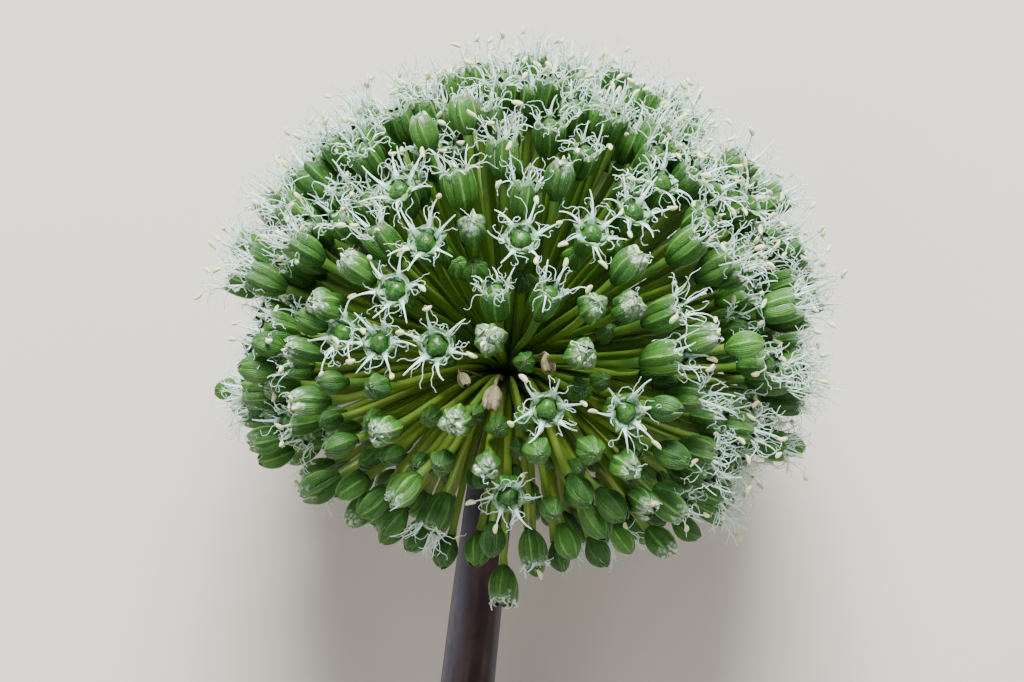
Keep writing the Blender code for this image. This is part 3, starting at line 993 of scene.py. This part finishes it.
def tepal_look():
    """Green and warty, with a pale rib and edges, painted shade and glints, and a tip mottled white once it
    opens.
    """
    n = Nodes("tepal_surface", 0.5, Specular_IOR_Level=0.35)
    bright = n.mix(n.tint, (0.010, 0.062, 0.008), (0.070, 0.222, 0.022))
    # Painted shade: the tepals of open and opening florets are darker green, for the shade that their
    # stamens cast on them.
    bright = n.mix(n.ramp(n.pale, 0.0, 0.1, 0.0, 0.34), bright, (0.010, 0.056, 0.010))
    dark = n.mix(n.tint, (0.003, 0.020, 0.003), (0.016, 0.074, 0.006))
    beside_keel = n.times(n.ramp(n.edge, 0.05, 0.20), n.ramp(n.edge, 0.30, 0.66, 1.0, 0.0))
    beside_keel = n.times(beside_keel, n.ramp(n.pale, 0.0, 0.1, 0.3, 0.5))
    green = n.mix(beside_keel, bright, dark)
    green = n.mix(n.ramp(n.noise(600, 4), 0.38, 0.7, 0.0, 0.45), green, (0.065, 0.17, 0.010))
    green = n.mix(n.ramp(n.along, 0.0, 0.3, 0.5, 0.0), green, (0.012, 0.060, 0.006))
    # Painted shade: darker towards the edges, where the tepals overlap and the grooves between them lie.
    green = n.mix(n.ramp(n.edge, 0.50, 0.85, 0.0, 0.75), green, dark)
    # Pale flecks on the warts: partly their own paler green, partly painted glints.
    wart_and_glint = n.ramp(n.cells(3300), 0.10, 0.19, 0.50, 0.0)
    green = n.mix(wart_and_glint, green, (0.24, 0.48, 0.17))
    veins = n.math("SINE", n.times(n.plus(n.edge, n.times(n.noise(900), 0.3)), 38.0))
    green = n.mix(n.ramp(veins, 0.2, 1.0, 0.0, 0.22), green, (0.11, 0.30, 0.05))
    wavy = n.plus(n.edge, n.times(n.plus(n.noise(1100), -0.5), 0.26))
    margin = n.times(n.ramp(wavy, 0.82, 1.0), n.ramp(n.along, 0.08, 0.70, 0.25, 1.0))
    margin = n.math("MAXIMUM", margin, n.ramp(n.along, 0.95, 1.0, 0.0, 0.5))
    margin = n.times(margin, n.ramp(n.pale, 0.0, 0.1, 0.6, 0.85))
    colour = n.mix(margin, green, (0.36, 0.58, 0.30))
    rib = n.times(n.ramp(wavy, 0.0, 0.13, 1.0, 0.0), n.ramp(n.tint, 0.1, 0.9, 0.1, 0.7))
    rib = n.times(rib, n.ramp(n.along, 0.0, 0.5, 0.4, 1.0))
    colour = n.mix(rib, colour, (0.20, 0.44, 0.12))
    high = n.plus(n.along, n.times(n.plus(n.noise(1300, 4), -0.5), 0.36))
    high = n.plus(high, n.times(n.edge, 0.22))
    creases = n.ramp(n.cells(1900), 0.36, 0.6, 1.0, 0.3)
    mottle = n.times(n.ramp(n.noise(2600, 5), 0.36, 0.60, 0.3, 1.0), creases)
    tip = n.times(n.times(n.ramp(high, 0.80, 1.06), n.pale), mottle)
    colour = n.mix(n.math("MINIMUM", n.times(tip, 1.4), 0.9), colour, (0.54, 0.66, 0.52))
    grain = n.plus(n.noise(2600), n.times(veins, 0.25))
    n.bump(n.plus(n.ramp(n.cells(3300), 0.05, 0.30, 1.0, 0.0), grain), 0.00006, 0.8)
    return n.finish(colour, n.ramp(n.noise(1800), 0.3, 0.7, 0.42, 0.62))


def stalk_look():
    """Green above and olive yellow below, with painted shade darkening the foot, and faint marks along it.
    """
    n = Nodes("stalk_surface", 0.45)
    above = n.mix(n.pale, (0.045, 0.130, 0.012), (0.100, 0.210, 0.020))
    below = n.mix(n.pale, (0.120, 0.225, 0.022), (0.245, 0.325, 0.045))
    olive = n.mix(n.edge, above, below)
    # Painted shade: darker at the foot, deep inside the head.
    olive = n.mix(n.ramp(n.along, 0.0, 0.30, 0.5, 0.0), olive, (0.025, 0.080, 0.006))
    olive = n.mix(n.ramp(n.along, 0.85, 1.0, 0.0, 0.7), olive, (0.040, 0.130, 0.016))
    olive = n.mix(n.ramp(n.noise(500, 4), 0.38, 0.7, 0.0, 0.4), olive, (0.17, 0.24, 0.02))
    n.bump(n.noise(2400), 0.00005, 0.5)
    return n.finish(olive, n.ramp(n.noise(1500), 0.3, 0.7, 0.34, 0.58))


def filament_look():
    """White with a cold cast, thin enough to glow, and greener at the root."""
    n = Nodes("filament_surface", 0.4, Subsurface_Weight=0.25, Subsurface_Scale=0.0006)
    white = n.mix(n.pale, (0.52, 0.79, 0.68), (0.78, 0.94, 0.83))
    root = n.math("SUBTRACT", n.ramp(n.along, 0.0, 0.42, 1.0, 0.0), n.edge)
    white = n.mix(root, white, (0.09, 0.25, 0.08))
    white = n.mix(n.ramp(n.noise(2500), 0.4, 0.7, 0.0, 0.3), white, (0.60, 0.76, 0.77))
    n.bump(n.noise(4000), 0.00003, 0.5)
    return n.finish(white, n.ramp(n.noise(2000), 0.3, 0.7, 0.3, 0.5))


def anther_look():
    """Cream, with a grain of pollen."""
    n = Nodes("anther_surface", 0.6)
    cream = n.mix(n.tint, (0.78, 0.84, 0.52), (0.74, 0.74, 0.34))
    cream = n.mix(n.ramp(n.noise(2200), 0.35, 0.7, 0.0, 0.5), cream, (0.62, 0.66, 0.44))
    n.bump(n.ramp(n.cells(9000), 0.0, 0.4, 1.0, 0.0), 0.00004, 0.6)
    return n.finish(cream, n.ramp(n.noise(3000), 0.3, 0.7, 0.5, 0.7))


def ovary_look():
    """Bright glossy green with tiny warts."""
    n = Nodes("ovary_surface", 0.3, Coat_Weight=0.1)
    green = n.mix(n.tint, (0.008, 0.055, 0.003), (0.020, 0.100, 0.006))
    green = n.mix(n.ramp(n.noise(1500), 0.4, 0.7, 0.0, 0.5), green, (0.07, 0.22, 0.014))
    green = n.mix(n.ramp(n.cells(3400), 0.06, 0.16, 0.45, 0.0), green, (0.30, 0.50, 0.14))
    n.bump(n.plus(n.ramp(n.cells(4200), 0.05, 0.35, 1.0, 0.0), n.noise(1600, 4)), 0.00014, 0.9)
    return n.finish(green, n.ramp(n.noise(2500), 0.3, 0.7, 0.28, 0.52))


def withered_look():
    """Dry papery beige, veined brown."""
    n = Nodes("withered_surface", 0.75)
    beige = n.mix(n.ramp(n.edge, 0.2, 0.9), (0.36, 0.31, 0.17), (0.52, 0.47, 0.29))
    beige = n.mix(n.ramp(n.noise(1200, 4), 0.4, 0.64, 0.0, 0.8), beige, (0.22, 0.17, 0.09))
    n.bump(n.noise(1600, 5), 0.00030, 0.9)
    return n.finish(beige, n.ramp(n.noise(1500), 0.3, 0.7, 0.6, 0.85))


def scape_look():
    """Purple brown under a grey-blue bloom of wax, thin near the head, with painted sheen along its left and
    right sides.
    """
    n = Nodes("scape_surface", 0.5, Specular_IOR_Level=0.25)
    skin = n.mix(n.ramp(n.noise(300, 5, 4), 0.38, 0.62), (0.015, 0.0050, 0.006), (0.044, 0.0150, 0.015))
    skin = n.mix(n.ramp(n.noise(900, 4, 3), 0.45, 0.65, 0.0, 0.7), skin, (0.010, 0.004, 0.005))
    skin = n.mix(n.ramp(n.noise(700, 4, 5), 0.54, 0.74, 0.0, 0.4), skin, (0.10, 0.060, 0.055))
    streaks = n.plus(n.noise(420, 5, 9), n.times(n.noise(1900, 3, 2), 0.35))
    # The bloom is laid on the upper left side and in a narrow band along the right edge: partly real wax,
    # partly painted sheen.
    left = n.times(n.ramp(n.edge, 0.56, 0.94), n.ramp(n.along, 0.16, 0.30, 0.55, 1.0))
    sides = n.plus(left, n.ramp(n.edge, 0.0, 0.14, 0.7, 0.02))
    bloom_and_sheen = n.times(n.ramp(streaks, 0.30, 0.74), sides)
    skin = n.mix(bloom_and_sheen, skin, (0.112, 0.112, 0.152))
    n.bump(n.plus(n.noise(700, 4, 12), n.times(n.noise(3000), 0.3)), 0.00008, 0.6)
    return n.finish(skin, n.ramp(streaks, 0.4, 0.9, 0.38, 0.68))


def cut_look():
    """The cut end's flesh: green under the skin, pale and spongy in the middle."""
    n = Nodes("cut_surface", 0.4)
    flesh = n.mix(n.ramp(n.edge, 0.55, 0.95), (0.52, 0.56, 0.36), (0.22, 0.32, 0.10))
    flesh = n.mix(n.ramp(n.edge, 0.95, 1.0), flesh, (0.07, 0.04, 0.035))
    flesh = n.mix(n.ramp(n.cells(2600), 0.05, 0.25, 0.5, 0.0), flesh, (0.34, 0.40, 0.20))
    n.bump(n.ramp(n.cells(2600), 0.0, 0.4, 0.0, 1.0), 0.00010, 0.7)
    return n.finish(flesh, n.ramp(n.noise(1800), 0.3, 0.7, 0.3, 0.55))


# The camera, the floor and the light

def camera():
    """The photograph's camera."""
    data = bpy.data.cameras.new("camera")
    data.sensor_width = 36
    data.lens = data.sensor_width * PIXELS_PER_METRE * VIEW_DISTANCE / PHOTO_WIDTH
    data.clip_start, data.clip_end = 0.01, 10
    obj = new_object("camera", data)
    turned = Matrix((ACROSS, UPWARD, VIEW)).transposed()
    obj.matrix_world = Matrix.LocRotScale(RECEPTACLE + CAMERA, turned, None)
    bpy.context.scene.camera = obj


def floor():
    mesh = bpy.data.meshes.new("floor")
    half = 8
    square = [(-half, -half, 0), (half, -half, 0), (half, half, 0), (-half, half, 0)]
    mesh.from_pydata(square, [], [(0, 1, 2, 3)])
    obj = new_object("floor", mesh)
    n = Nodes("floor_surface", 0.8)
    mesh.materials.append(n.finish(n.mix(n.noise(6, 2), (0.60, 0.545, 0.475), (0.64, 0.585, 0.515))))


def lamp(name, place, power, size, colour):
    data = bpy.data.lights.new(name, "AREA")
    data.energy, data.size, data.color = power, size, colour
    obj = new_object(name, data)
    obj.location = place
    obj.rotation_euler = (RECEPTACLE - Vector(place)).to_track_quat("-Z", "Y").to_euler()


def light():
    lamp("sky", (-0.08, 0.50, 0.50), 17.5, 0.34, (0.97, 0.99, 1.0))
    lamp("side", (0.55, -0.05, 0.45), 1.4, 0.5, (1.0, 0.98, 0.95))
    lamp("front", (-0.25, -0.32, 0.48), 1.8, 0.45, (1.0, 0.99, 0.96))
    world = bpy.data.worlds.new("soft_light")
    world.use_nodes = True
    background = world.node_tree.nodes["Background"]
    background.inputs["Color"].default_value = (0.95, 0.97, 1.0, 1)
    background.inputs["Strength"].default_value = 0.27
    bpy.context.scene.world = world


looks = {
    "tepals": tepal_look(),
    "stalks": stalk_look(),
    "filaments": filament_look(),
    "anthers": anther_look(),
    "ovaries": ovary_look(),
    "withered": withered_look(),
    "scape": scape_look(),
    "cut": cut_look(),
}
looks["threads"] = looks["filaments"]
flower_head(looks)
withered_florets(looks)
receptacle(looks)
scape(looks)
camera()
floor()
light()
